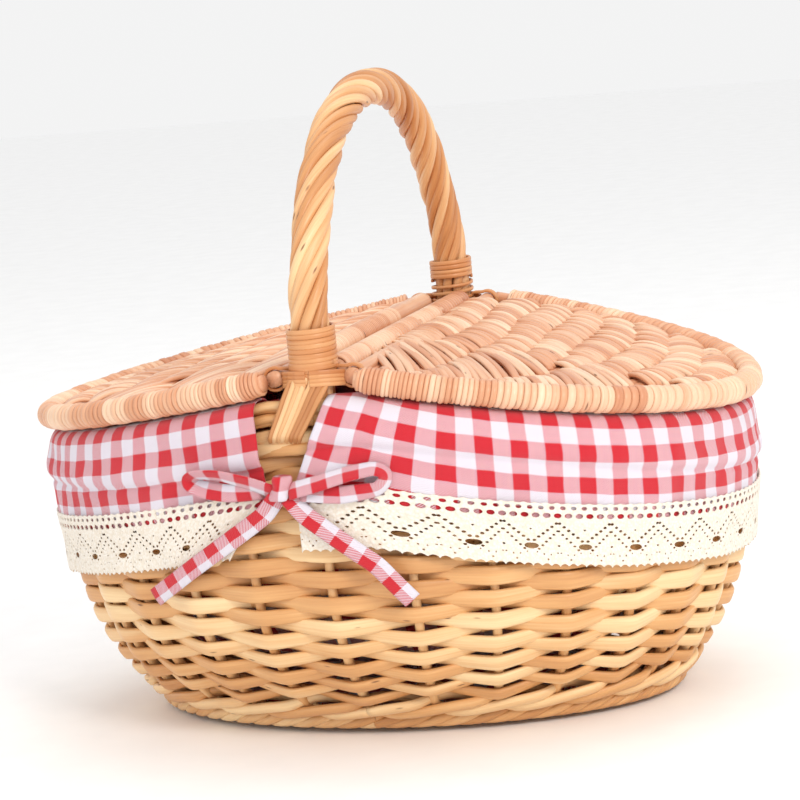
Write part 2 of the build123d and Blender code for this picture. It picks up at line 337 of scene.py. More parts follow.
# %% Willow
def willow(name, deep, middle, pale, gloss, eyes=0.10):
    """Peeled willow between a deep and a pale colour."""
    finish = Finish(name)
    grain = finish.fact("grain")
    tone = finish.fact("tone", "Fac")
    streaks = finish.noise(finish.stretch(grain, (26.0, 950.0, 950.0)), 4.0)
    clouds = finish.noise(finish.stretch(grain, (16.0, 90.0, 90.0)), 2.0)
    level = finish.math("MULTIPLY", tone, 0.42)
    level = finish.math("ADD", level, finish.math("MULTIPLY", clouds, 0.50))
    level = finish.math("ADD", level, finish.math("MULTIPLY", streaks, 0.26))
    colour = finish.ramp(level, [(0.22, deep), (0.56, middle), (0.86, pale)])
    cells = finish.put(
        "TexVoronoi", Vector=finish.stretch(grain, (34.0, 150.0, 150.0)), Scale=1.0
    ).outputs["Distance"]
    eye = finish.put("MapRange", i0=cells, i1=eyes * 0.45, i2=eyes, i3=0.8, i4=0.0).outputs[0]
    brown = shade(112, 62, 30)
    colour = finish.mix(eye, colour, brown)
    rough = finish.put("MapRange", i0=streaks, i1=0.2, i2=0.8, i3=gloss, i4=gloss + 0.16).outputs[0]
    finish.surface(Base_Color=colour, Roughness=rough)
    finish.surface(Specular_IOR_Level=0.45, Coat_Weight=0.12, Coat_Roughness=0.3)
    height = finish.math("SUBTRACT", streaks, finish.math("MULTIPLY", eye, 0.7))
    finish.bump(height, 0.35 * mm, 0.7)
    return finish.material


wall_shades = shade(182, 116, 62), shade(222, 168, 110), shade(246, 214, 164)
lid_shades = shade(184, 108, 70), shade(220, 162, 124), shade(246, 214, 182)
bow_shades = shade(160, 90, 44), shade(212, 152, 98), shade(244, 206, 156)
cane_shades = shade(172, 98, 52), shade(205, 138, 86), shade(232, 180, 126)
wall_finish = willow("wall_willow", *wall_shades, gloss=0.36)
lid_finish = willow("lid_willow", *lid_shades, gloss=0.34)
bow_finish = willow("handle_willow", *bow_shades, gloss=0.34)
cane_finish = willow("cane", *cane_shades, gloss=0.3, eyes=0.03)
print("willow finishes: 4")

# %% [markdown]
# ## Stakes
# The stakes stand in the base and run up through the weave to the border. Twenty-eight of them
# are bent outwards with the swell. They show between the weavers and above the
# weave at the handle, so each is a full round rod with a little taper.

# %% Stakes
stake_count = 28
stake_step = 2 * math.pi / stake_count
stake_turns = -math.pi / 2 + stake_step * np.arange(stake_count)
weave_middle = -7.0 * mm
stake_half = 2.45 * mm
stake_foot = 4 * mm
stake_hidden = 7 * mm  # the border covers the top of each stake

stakes = Rods()
for turn in stake_turns:
    heights = np.linspace(stake_foot, rim_at(turn) - stake_hidden, 40)
    line, away = on_wall(turn + rng.normal(0, 0.004), heights, weave_middle)
    half = stake_half * np.linspace(1.08, 0.85, 40)
    stakes.lay(line, away, half, half, rng.uniform(0.3, 0.8))
fit(stakes.piece("stakes"), wall_finish, "basket", "side_stakes")

# %% [markdown]
# ## The side weave
# The side is randed: each row goes in front of one stake and behind the next, and the row
# above does the opposite. The rows are level low down, and settle to the slope of the
# rim near the top. A row is joined from a few rods, whose ends are hidden behind stakes.
# In front of a stake a rod is squeezed flat and tall, and the two slopes meet at a soft crease.

# %% Rows up the wall
wale_top = foot_high.z + 7.4 * mm
weave_top = rim_top - 30 * mm
row_pitch = 6.85 * mm
fine_heights = np.linspace(wale_top, weave_top, 400)
front_line, _ = on_wall(-math.pi / 2, fine_heights, weave_middle)
climb = run_along(front_line)
row_total = int(round(climb[-1] / row_pitch))
row_heights = np.interp((np.arange(row_total) + 0.5) / row_total * climb[-1], climb, fine_heights)
print("rows of randing:", row_total, "pitch (mm):", round(climb[-1] / row_total / mm, 2))


# %% Bent rod across the stakes
def settle(height, turn):
    """A row is level near the foot and follows the rim near the top."""
    share = smooth((height - 60 * mm) / (weave_top - 60 * mm))
    return height - rim_drop(belly[0] * np.cos(turn)) * share


def crease(wave):
    """A rounded zigzag, softly pointed at 1 and -1."""
    return np.arcsin(0.985 * wave) / math.asin(0.985)


def rand_row(rods, height, row, reach, half_tall, half_thick):
    """One round of weaving, made of rods that begin and end behind stakes."""
    stake = int(rng.integers(0, stake_count // 2)) * 2 + (row + 1) % 2
    left = stake_count
    while left > 0:
        span = left if left <= 14 else int(rng.choice([8, 10, 12]))
        left -= span
        places = np.linspace(-0.2, span + 0.2, int(span * 14))
        turn = stake_turns[0] + (stake + places) * stake_step
        wave = np.cos(math.pi * (stake + places + row))
        out = weave_middle + reach * crease(wave)
        wander = 0.3 * mm * np.sin(places * rng.uniform(0.5, 0.9) + rng.uniform(0, 6))
        level = settle(height, turn) + wander + rng.normal(0, 0.25 * mm)
        line, away = on_wall(turn, level, out)
        taper = np.linspace(1.06, 0.90, len(places)) * rng.uniform(0.96, 1.05)
        tall = half_tall * (1 + 0.16 * wave) * taper
        rods.lay(line, away, tall, half_thick * taper, rng.uniform(0.15, 1.0))
        stake += span


# %% Randing
side = Rods(sides=12, squareness=0.66)
for row, height in enumerate(row_heights):
    fill = 0.84 + 0.16 * smooth((height - wale_top) / (38 * mm))
    rand_row(
        side, height, row,
        reach=4.3 * mm, half_tall=4.1 * mm * fill, half_thick=1.85 * mm * fill,
    )
fit(side.piece("side_randing"), wall_finish, "basket", "side_weave")

# %% [markdown]
# ## Waling
# A wale is three rods worked together: each goes in front of two stakes and behind one,
# and comes out a stake after its neighbour, so it looks like a slanting rope. It locks the
# stakes at the foot and below the rim. Twenty-eight stakes leave one over when counted in
# threes, so a single rod that goes three times round draws the whole wale.

# %% Wale
def wale(rods, height_at, reach, half_tall, half_thick, slant):
    """Three rods round the wall, as one closed line of three rounds."""
    places = np.linspace(0, 3 * stake_count, 3 * stake_count * 10, endpoint=False)
    turn = stake_turns[0] + places * stake_step
    phase = 2 * math.pi * places / 3
    out = weave_middle + reach * np.tanh(2.0 * (np.cos(phase) + 0.42)) / 0.98
    level = height_at(turn) + slant * np.sin(phase)
    line, away = on_wall(turn, level, out)
    for part in range(12):
        cut = slice(part * len(line) // 12, (part + 1) * len(line) // 12 + 1)
        piece = np.arange(len(line) + 1)[cut] % len(line)
        rods.lay(line[piece], away[piece], half_tall, half_thick, rng.uniform(0.2, 0.9))


lower_wale = Rods()
wale_height = foot_high.z + 2.2 * mm
wale(
    lower_wale,
    lambda turn: wale_height + 0 * turn,
    reach=4.6 * mm, half_tall=3.8 * mm, half_thick=2.2 * mm, slant=3.0 * mm,
)
fit(lower_wale.piece("foot_wale"), wall_finish, "basket", "wale_lower")

# %% Wale below the rim
upper_wale = Rods()
for below in (26 * mm, 20 * mm):
    wale(
        upper_wale,
        lambda turn: rim_at(turn) - below,
        reach=4.9 * mm, half_tall=3.2 * mm, half_thick=2.4 * mm, slant=0.9 * mm,
    )
fit(upper_wale.piece("rim_wale"), wall_finish, "basket", "wale_upper")

# %% [markdown]
# ## Rolled foot and rim borders
# The stakes are bent down at the foot and along at the rim, and each is twisted round its
# neighbours, which leaves a thick rolled edge. A rope of a few strands laid round the
# wall gives that roll, tight at the foot and long-drawn at the rim.

# %% Rope round the wall
def roll(rods, height_at, out, radius, strands, strand_half, turns_each):
    """Strands twisted round a line that follows the wall."""
    places = np.linspace(0, 2 * math.pi, 900, endpoint=False)
    middle, away = on_wall(places, height_at(places), out)
    along = unit(np.roll(middle, -1, 0) - np.roll(middle, 1, 0))
    up = np.cross(away, along)
    for strand in range(strands):
        phase = places * turns_each + 2 * math.pi * strand / strands
        turned = away * np.cos(phase)[:, None] + up * np.sin(phase)[:, None]
        line = middle + radius * turned
        for part in range(4):
            cut = (np.arange(226) + part * 225) % 900
            rods.lay(line[cut], turned[cut], strand_half * 1.06, strand_half, rng.uniform(0.1, 0.9))


foot_roll = Rods()
roll(
    foot_roll,
    lambda turn: 4.0 * mm + 0 * turn,
    out=-4.8 * mm, radius=2.5 * mm, strands=4, strand_half=2.7 * mm, turns_each=17,
)
fit(foot_roll.piece("foot_roll"), wall_finish, "basket", "foot_border")

# %% Rim border
rim_roll = Rods()
for below, out in ((5.2 * mm, -3.6 * mm), (11.4 * mm, -2.4 * mm), (8.4 * mm, -9.5 * mm)):
    roll(
        rim_roll,
        lambda turn: rim_at(turn) - below,
        out, radius=1.1 * mm, strands=2, strand_half=2.3 * mm, turns_each=5,
    )
fit(rim_roll.piece("rim_roll"), wall_finish, "basket", "rim_border")

# %% [markdown]
# ## The base
# An oval base starts from a short spine of sticks. Spokes fan out from it, and weavers go round
# over and under them until the oval reaches into the foot border. It is only seen from below.

# %% Base
base_weave_low, base_weave_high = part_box("base_weave")
base_middle = (base_weave_low.z + base_weave_high.z) / 2 + 0.6 * mm
base_half = np.array([base_weave_high.x, base_weave_high.y])
spine_half = base_half[0] - base_half[1] + 5 * mm
up = np.array([0.0, 0.0, 1.0])


def oval(turn, shrink):
    """A point of the base, a distance in from its edge."""
    return np.stack([
        (base_half[0] - shrink) * np.cos(turn),
        (base_half[1] - shrink) * np.sin(turn),
        np.full_like(turn, base_middle),
    ], -1)


base_sticks = Rods()
for turn in stake_turns:
    shrinks = np.linspace(base_half[1] - 4 * mm, -5 * mm, 12)
    line = np.concatenate([oval(np.array([turn]), shrink) for shrink in shrinks])
    base_sticks.lay(line, up, 2.1 * mm, 1.9 * mm)
for y in (-4.4 * mm, 0.0, 4.4 * mm):
    x = np.linspace(-spine_half, spine_half, 20)
    line = np.stack([x, np.full(20, y), np.full(20, base_middle)], -1)
    base_sticks.lay(line, up, 2.2 * mm, 2.2 * mm)
fit(
    base_sticks.piece("base_sticks"), wall_finish, "basket",
    "base_long_sticks", "base_cross_sticks",
)

# %% Rings of weaving in the base
base_rings = Rods()
shrinks = np.arange(-2.7 * mm, base_half[1] - 6 * mm, 5.1 * mm)
for ring, shrink in enumerate(shrinks):
    turn = np.linspace(0, 2 * math.pi, 560, endpoint=False) + stake_turns[0]
    line = oval(turn, shrink)
    wave = np.cos(math.pi * ((turn - stake_turns[0]) / stake_step + ring))
    line[:, 2] += 2.3 * mm * np.sin(1.2 * wave)
    for part in range(3):
        cut = (np.arange(189) + part * 187 + ring * 71) % 560
        base_rings.lay(line[cut], up, 2.6 * mm, 1.6 * mm)
fit(base_rings.piece("base_rings"), wall_finish, "basket", "base_weave")

# %% [markdown]
# ## The bow handle
# A stout rod bent into a bow is pushed down into the wall on both sides, and a handful of thinner
# rods is twisted round it like a rope. The rods lie nearly straight at the bindings, where
# they spread down into the wall. One frame is carried along the bow's line, and each
# rod is laid at its own angle round that line.

# %% Line of the bow
core_low, core_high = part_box("handle_core")
core_half = (core_high.x - core_low.x) / 2
bow_half = core_high.y - core_half
bow_top = core_high.z - core_half
bow_spring = 214 * mm
bow_outer = (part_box("handle_rods")[1].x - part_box("handle_rods")[0].x) / 2
print("bow half span and top (mm):", round(bow_half / mm, 1), round(bow_top / mm, 1))


def bow_line(foot_height, count=420):
    """Evenly spaced points up one leg, over the half oval and down the other, and their normals."""
    leg = np.linspace(foot_height, bow_spring, 60, endpoint=False)
    arc = np.linspace(math.pi, 0, 400)
    y = np.concatenate([np.full(60, -bow_half), bow_half * np.cos(arc), np.full(60, bow_half)])
    z = np.concatenate([leg, bow_spring + (bow_top - bow_spring) * np.sin(arc), leg[::-1]])
    run = run_along(np.stack([y, z], -1))
    even = np.linspace(0, run[-1], count)
    line = np.stack([np.zeros(count), np.interp(even, run, y), np.interp(even, run, z)], -1)
    along = unit(np.gradient(line, axis=0))
    outward = np.stack([np.zeros(count), -along[:, 2], along[:, 1]], -1)
    return line, outward, even


# %% Core and twisted rods
core = Rods(sides=14)
core_path, core_out, _ = bow_line(core_low.z + 1 * mm, 260)
core_taper = 4.7 * mm * np.minimum(1, 0.5 + np.minimum(np.arange(260), np.arange(260)[::-1]) / 30)
core.lay(core_path, core_out, core_taper, core_taper)
fit(core.piece("bow_core"), bow_finish, "basket", "handle_core")

handle = Rods(sides=12, squareness=0.9)
rod_count = 9
rod_half = 2.8 * mm
twist_pitch = 112 * mm
path, outward, run = bow_line(rim_top - 6 * mm, 460)
sideways = np.array([1.0, 0.0, 0.0])
ease = 34 * mm
near_end = np.minimum(run, run[-1] - run)
turning = smooth((near_end - 14 * mm) / ease) * 0.9 + 0.1
winding = np.concatenate([[0], np.cumsum(turning[:-1] * np.diff(run))]) / twist_pitch * 2 * math.pi
for k in range(rod_count):
    own_half = rod_half * rng.uniform(0.80, 1.10)
    phase = winding + 2 * math.pi * k / rod_count + rng.normal(0, 0.04)
    phase = phase + 0.07 * np.sin(run / 0.04 + rng.uniform(0, 6))
    sunk = rng.uniform(0.0, 1.0) * mm
    ring_radius = bow_outer - own_half - sunk + 0.3 * mm * np.sin(run / 0.03 + rng.uniform(0, 6))
    facing = outward * np.cos(phase)[:, None] + sideways * np.sin(phase)[:, None]
    line = path + facing * np.broadcast_to(ring_radius, run.shape)[:, None]
    half = own_half * (1 + 0.07 * np.sin(run / 0.05 + rng.uniform(0, 6)))
    handle.lay(line, facing, half * 1.03, half, rng.uniform(0.0, 1.0))
fit(handle.piece("bow_rods"), bow_finish, "basket", "handle_rods")

# %% [markdown]
# ## Cane bindings
# Flat cane is wound tightly round each foot of the bow. On the front it is one close band; on the
# back the lower turns are spaced and show the rods behind them. The winding is a helix
# of a flat strip, a little uneven from turn to turn.

# %% Winding helper
cane_half = 1.32 * mm
cane_thick = 0.75 * mm


def wind(binding, leg, radius, start, turns, span, half, thick, tone, wobble=0.0):
    """Lay a strip as a helix round an upright leg, between the two heights of a span."""
    places = np.linspace(0, turns, int(turns * 26))
    angle = start + 2 * math.pi * places
    facing = np.stack([np.cos(angle), np.sin(angle), 0 * angle], -1)
    heights = span[0] + (span[1] - span[0]) * places / turns
    heights = heights + wobble * np.sin(places * 2.1 + 1.0)
    line = leg + facing * radius + np.stack([0 * angle, 0 * angle, heights], -1)
    binding.lay(line, facing, half, thick, tone)


# %% Bindings
for end, sign in end_sign.items():
    low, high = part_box(f"handle_binding_{end}")
    binding = Rods(sides=8, squareness=0.6)
    leg = np.array([0.0, sign * bow_half, 0.0])
    radius = (high.x - low.x) / 2 - 1.15 * mm
    bottom, top = low.z + 1.4 * mm, high.z - 1.4 * mm
    if end == "front":
        wind(binding, leg, radius, 0.3, 10.4, (bottom, top), cane_half, cane_thick, 0.55, 0.12 * mm)
        tuck = low.z + 6 * mm, low.z + 8.5 * mm
        wind(binding, leg, radius + 0.5 * mm, 2.2, 1.6, tuck, cane_half, 0.6 * mm, 0.35)
    else:
        close = high.z - 12.2 * mm, top
        wind(binding, leg, radius, 0.3, 4.2, close, cane_half, cane_thick, 0.55, 0.1 * mm)
        spaced = bottom, high.z - 13.5 * mm
        wind(binding, leg, radius, 0.8, 3.4, spaced, 1.0 * mm, cane_thick, 0.4)
    fit(binding.piece(f"bow_binding_{end}"), cane_finish, "basket", f"handle_binding_{end}")

# %% [markdown]
# ## Rod tails at the foot of the bow
# Under the binding the twisted rods are fanned to one side, laid over the border and tucked
# behind a thick rod of the wale. Here each tail leaves the binding, slants down the
# outside of the rim and dives into the weave.

# %% Tails
for end, sign in end_sign.items():
    tails = Rods()
    low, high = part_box(f"handle_tails_{end}")
    for k in range(8):
        x_top = sign * (9.5 - 2.85 * k) * mm
        x_low = 0.75 * x_top + sign * 19.0 * mm
        t = np.linspace(0, 1, 24)
        x = x_top + (x_low - x_top) * t**1.15
        z = high.z + 3 * mm + (low.z - 1 * mm - high.z) * t
        skin = belly[1] * np.sqrt(1 - (x / belly[0]) ** 2)
        leg_front = bow_half + math.sqrt(max(11.0**2 - (x_top / mm) ** 2 * 0.6, 20)) * mm
        stand_off = (leg_front - skin) * (1 - smooth(t / 0.35)) + smooth(t / 0.35) * 3.0 * mm
        stand_off = stand_off - 9 * mm * smooth((t - 0.8) / 0.2)
        line = np.stack([x, sign * (skin + stand_off), z], -1)
        half = 1.6 * mm * (1 - 0.2 * t) * rng.uniform(0.8, 1.1)
        tails.lay(line, (0, sign, 0), half, half * 0.95, rng.uniform(0.05, 1.0))
    fit(tails.piece(f"bow_tails_{end}"), bow_finish, "basket", f"handle_tails_{end}")

# %% [markdown]
# ## Hinge loops
# The hinge of such a basket is a loop of cane. It comes out of the binding, goes round the end of
# the lid's hinge stick and back, so the stick can turn inside it. Two strands side by side
# make each loop.

# %% Hinge loops
hinge_at = {joint["child"]: joint for joint in frame["joints"]}
stick_half = 4.2 * mm
for end, sign in end_sign.items():
    for side_name, way in side_sign.items():
        node = f"hinge_loop_{end}_{side_name}"
        hinge_x, _, hinge_z = hinge_at[f"lid_{side_name}"]["pos_m"]
        ring_radius = stick_half + 1.5 * mm
        loops = Rods(sides=8, squareness=0.6)
        for strand in (-1, 1):
            around = np.linspace(math.radians(115), math.radians(-150), 40)
            x = hinge_x + way * ring_radius * np.cos(around)
            z = hinge_z + ring_radius * np.sin(around)
            start = np.array([[way * 11.6 * mm, hinge_z + 4.6 * mm], [way * 13.5 * mm, hinge_z + 5.2 * mm]])
            stop = np.array([[way * 13.3 * mm, hinge_z - 2.6 * mm], [way * 11.6 * mm, hinge_z - 1.0 * mm]])
            flat = np.concatenate([start, np.stack([x, z], -1), stop])
            knots = np.linspace(0, 1, len(flat))
            fine = np.linspace(0, 1, 90)
            x, z = np.interp(fine, knots, flat[:, 0]), np.interp(fine, knots, flat[:, 1])
            y = np.full(90, sign * bow_half + strand * 1.02 * mm)
            line = np.stack([x, y, z], -1)
            facing = unit(line - np.array([hinge_x, sign * bow_half, hinge_z]))
            facing[:, 1] = 0
            loops.lay(line, facing, 0.98 * mm, 0.85 * mm, 0.5 + 0.1 * strand)
        for strand in range(4):
            z = hinge_z + (3.2 - 2.0 * strand) * mm
            flare = np.array([
                (way * 1.0, 12.4, 0.6), (way * 6.0, 11.6, 0.6), (way * 10.5, 9.0, 0.3),
                (way * 14.0, 5.4, -0.2), (way * 16.2, 1.8, -0.8),
            ]) * mm
            knots, fine = np.linspace(0, 1, len(flare)), np.linspace(0, 1, 40)
            x, y, rise = (np.interp(fine, knots, flare[:, k]) for k in range(3))
            line = np.stack([x, sign * (bow_half + y), z + rise], -1)
            facing = unit(np.stack([x * 0.8, sign * (y + 3 * mm), 0 * x], -1))
            loops.lay(line, facing, 1.15 * mm, 0.7 * mm, 0.3 + 0.15 * strand)
        fit(loops.piece(node + "_cane"), cane_finish, "basket", node)

# %% [markdown]
# ## The lids
# Each lid is half of the oval: a hoop bent from a stout rod, closed by a straight stick. A lid
# is drawn flat in its own coordinates, x outwards from the hinge and y along it, and then
# turned down to its slope. That keeps the weaving a drawing in two directions.

# %% Lid coordinates
lid_half_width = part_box("lid_right_border_wrap")[1].y
lid_reach = 200 * mm
wrap_half = 7 * mm
hoop_half = 4.2 * mm


def lid_space(side_name):
    """Origin and directions of a closed lid: outwards, along the hinge, up."""
    way = side_sign[side_name]
    fall = lid_fall[side_name]
    origin = np.array(hinge_at[f"lid_{side_name}"]["pos_m"], float)
    out = np.array([way * math.cos(fall), 0.0, -math.sin(fall)])
    lift = np.array([way * math.sin(fall), 0.0, math.cos(fall)])
    return origin, out, lift


def to_lid(side_name, x, y, lift_by):
    origin, out, lift = lid_space(side_name)
    x, y, lift_by = np.broadcast_arrays(x, y, lift_by)
    line = origin + x[..., None] * out + lift_by[..., None] * lift
    line[..., 1] = y
    return line


def lid_oval(side_name):
    """Centre and half sizes of the line down the middle of the hoop."""
    stretch = 1 / math.cos(lid_fall[side_name])
    hinge_out = abs(hinge_at[f"lid_{side_name}"]["pos_m"][0])
    return -hinge_out * stretch, lid_reach * stretch - wrap_half, lid_half_width - wrap_half


# %% Hoop and its wrapping
def hoop_line(side_name, count):
    centre, along, across = lid_oval(side_name)
    start = math.acos((3 * mm - centre) / along)
    fine = np.linspace(-start, start, 3000)
    x, y = centre + along * np.cos(fine), across * np.sin(fine)
    run = run_along(np.stack([x, y], -1))
    even = np.linspace(0, run[-1], count)
    return np.interp(even, run, x), np.interp(even, run, y), even


def wrap_hoop(side_name):
    """Uneven turns of rod wound round the hoop from end to end."""
    rods = Rods(sides=8, squareness=0.8)
    x, y, run = hoop_line(side_name, 3000)
    tangent = unit(np.stack([np.gradient(x), np.gradient(y)], -1))
    origin, out, lift = lid_space(side_name)
    at = 2 * mm
    while at < run[-1] - 14 * mm:
        group = int(rng.integers(2, 5))
        from_end = min(at, run[-1] - at)
        wide = (2.2 + 2.4 * smooth(from_end / (160 * mm))) * rng.uniform(0.88, 1.14) * mm
        steps = group * 22
        places = np.linspace(0, group, steps)
        turn = 2 * math.pi * places + rng.uniform(0, 0.4) - 2.2
        here = at + wide * places
        px, py = np.interp(here, run, x), np.interp(here, run, y)
        tx, ty = np.interp(here, run, tangent[:, 0]), np.interp(here, run, tangent[:, 1])
        middle = to_lid(side_name, px, py, 0.0)
        normal = ty[:, None] * out + np.outer(-tx, [0, 1, 0])
        facing = normal * np.cos(turn)[:, None] + lift * np.sin(turn)[:, None]
        radius = wrap_half - 1.2 * mm + 0.25 * mm * np.sin(places * 1.7 + rng.uniform(0, 6))
        end_gap = np.minimum(here, run[-1] - here)
        radius = radius * (0.8 + 0.2 * smooth(end_gap / (9 * mm)))
        line = middle + facing * radius[:, None]
        rods.lay(line, facing, wide * 0.53, 1.25 * mm, rng.uniform(0.2, 1.0))
        at += wide * group
    return rods


for side_name in side_sign:
    body = f"lid_{side_name}"
    x, y, run = hoop_line(side_name, 220)
    hoop = Rods(sides=14)
    hoop.lay(to_lid(side_name, x, y, 0.0), lid_space(side_name)[2], hoop_half, hoop_half, 0.4)
    fit(hoop.piece(f"{body}_hoop_rod"), lid_finish, body, f"{body}_hoop")
    wrapped = wrap_hoop(side_name)
    fit(wrapped.piece(f"{body}_hoop_wrapping"), lid_finish, body, f"{body}_border_wrap")

# %% [markdown]
# ## Lid weaving
# Ribs run like the meridians of a melon, from one corner of the lid round to the other. The
# weavers lie packed over them, slanting to the front and turning straight out at the tip and
# the back, so the lid shows curved bands of short floats that arch over a rib and dip between
# two. Each float is traced both ways from its band's middle, to the band's edge or the hoop.

# %% Bands and directions
band_half_width = 158 * mm
back_half_width = 250 * mm


def band_at(x, y):
    """How far out a meridian through a point crosses the middle of the lid."""
    half = np.where(np.asarray(y) < 0, band_half_width, back_half_width)
    return x / np.sqrt(np.maximum(1 - (y / half) ** 2, 0.02))


def float_heading(x, y):
    """The way a float points: slanting to the front, but straight out at the tip and the back."""
    slant = -62 + 24 * smooth((y + 100 * mm) / (90 * mm))
    outwards = math.degrees(math.atan2(y + 10 * mm, x)) * 1.1
    share = smooth((x - 100 * mm + 0.35 * y * (y < 0)) / (45 * mm)) * smooth((y + 60 * mm) / (60 * mm))
    share = max(share, smooth((y - 90 * mm) / (40 * mm)) * smooth((x - 40 * mm) / (40 * mm)))
    angle = math.radians(slant * (1 - share) + outwards * share + rng.normal(0, 2.0))
    return np.array([math.cos(angle), math.sin(angle)])


def bands(flip):
    """(inner, outer, lowest y, highest y) of each band; the underside's ribs lie between."""
    shift = 22 * mm if flip else 0.0
    wide = [-7, 41, 91, 140, 210]
    narrow = [-7, 16, 38, 60, 82, 104, 126, 148, 170, 210]
    made = []
    for edges, moved, y_low, y_high in (
        (wide, shift, -150 * mm, -48 * mm),
        (narrow, shift / 2, -52 * mm, 150 * mm),
    ):
        for low, high in zip(edges[:-1], edges[1:]):
            made.append((low * mm - moved * (low > 0), high * mm - moved * (high < 200), y_low, y_high))
    return made


# %% Trace the floats
def inside_lid(side_name, x, y, margin):
    centre, along, across = lid_oval(side_name)
    within = ((x - centre) / (along - margin)) ** 2 + (y / (across - margin)) ** 2 < 1
    beside_bow = (abs(y) > 121 * mm) and (x < 9.5 * mm)
    return within and x > -7.5 * mm and not beside_bow


def lay_floats(side_name, flip):
    rods = Rods(sides=8, squareness=0.7)
    face = -1 if flip else 1
    _, _, lift = lid_space(side_name)
    step = 2.0 * mm
    for inner, outer, y_low, y_high in bands(flip):
        y = y_low
        while y < y_high:
            ripple = 2.2 * mm * math.sin(y / (23 * mm) + inner * 60)
            middle = (inner + outer) / 2 + ripple
            half = band_half_width if y < 0 else back_half_width
            narrowing = math.sqrt(max(1 - (y / half) ** 2, 0.05))
            x = middle * narrowing
            heading = float_heading(x, y)
            slope = -middle * y / half**2 / narrowing
            band_way = unit(np.array([slope, 1.0]))
            apart = abs(heading[0] * band_way[1] - heading[1] * band_way[0])
            y += 4.5 * mm / max(apart, 0.25) * abs(band_way[1]) * rng.uniform(0.93, 1.08)
            if not inside_lid(side_name, x, y, 4 * mm):
                continue
            over = rng.uniform(0.5, 3.0) * mm
            ends = []
            for way in (-1, 1):
                point = np.array([x, y])
                far = 0
                while far < 34:
                    ahead = point + way * heading * step
                    here = band_at(ahead[0], ahead[1])
                    if not inside_lid(side_name, ahead[0], ahead[1], 5.6 * mm):
                        break
                    if not inner - over + ripple < here < outer + over + ripple:
                        break
                    point = ahead
                    far += 1
                ends.append(point)
            length = np.linalg.norm(ends[1] - ends[0])
            if length < 6 * mm:
                continue
            count = max(int(length / (2.2 * mm)), 6)
            t = np.linspace(0, 1, count)
            bow = 0.02 * length * rng.normal()
            cross = np.array([-heading[1], heading[0]])
            flat = ends[0] + (ends[1] - ends[0]) * t[:, None] + cross * (bow * np.sin(math.pi * t))[:, None]
            arch = np.sin(math.pi * np.clip(t, 0, 1)) ** 0.65
            height = (0.5 + 3.4 * arch + rng.normal(0, 0.18)) * mm
            line = to_lid(side_name, flat[:, 0], flat[:, 1], face * height)
            wide = 2.35 * mm * rng.uniform(0.9, 1.06) * (0.88 + 0.12 * arch)
            rods.lay(line, face * lift, wide, 1.35 * mm, rng.uniform(0.2, 1.0))
    return rods


# %% Ribs and padding under the floats
def lay_ribs(side_name):
    """Meridian ribs, and a close layer of rods that fills the lid between its two faces."""
    rods = Rods(sides=8)
    _, _, lift = lid_space(side_name)
    centre, along, across = lid_oval(side_name)
    for rib in np.arange(6, 178, 6.9) * mm:
        y = np.linspace(-across + 6 * mm, across - 6 * mm, 90)
        half = np.where(y < 0, band_half_width, back_half_width)
        x = rib * np.sqrt(1 - (y / half) ** 2)
        keep = ((x - centre) / (along - 6 * mm)) ** 2 + (y / (across - 6 * mm)) ** 2 < 1
        keep &= ~((np.abs(y) > 120 * mm) & (x < 11 * mm))
        if keep.sum() > 4:
            rods.lay(to_lid(side_name, x[keep], y[keep], 0.0), lift, 3.4 * mm, 1.2 * mm, 0.15)
    return rods


for side_name in side_sign:
    body = f"lid_{side_name}"
    woven = {
        "floats_top": (lay_floats(side_name, False), "weave"),
        "floats_under": (lay_floats(side_name, True), "weave"),
        "rib_rods": (lay_ribs(side_name), "ribs"),
    }
    for name, (rods, node) in woven.items():
        fit(rods.piece(f"{body}_{name}"), lid_finish, body, f"{body}_{node}")

# %% [markdown]
# ## Sticks along the straight edge
# A thin stick along the hinge line turns in the cane loops, and a thick one stiffens the
# straight edge that meets the other lid. The left lid's thick stick stands proud, is wound with
# fine skein on its front half and ends in a plain cut rod. The right lid's lies lower and is
# covered by flat turned weavers from end to end.

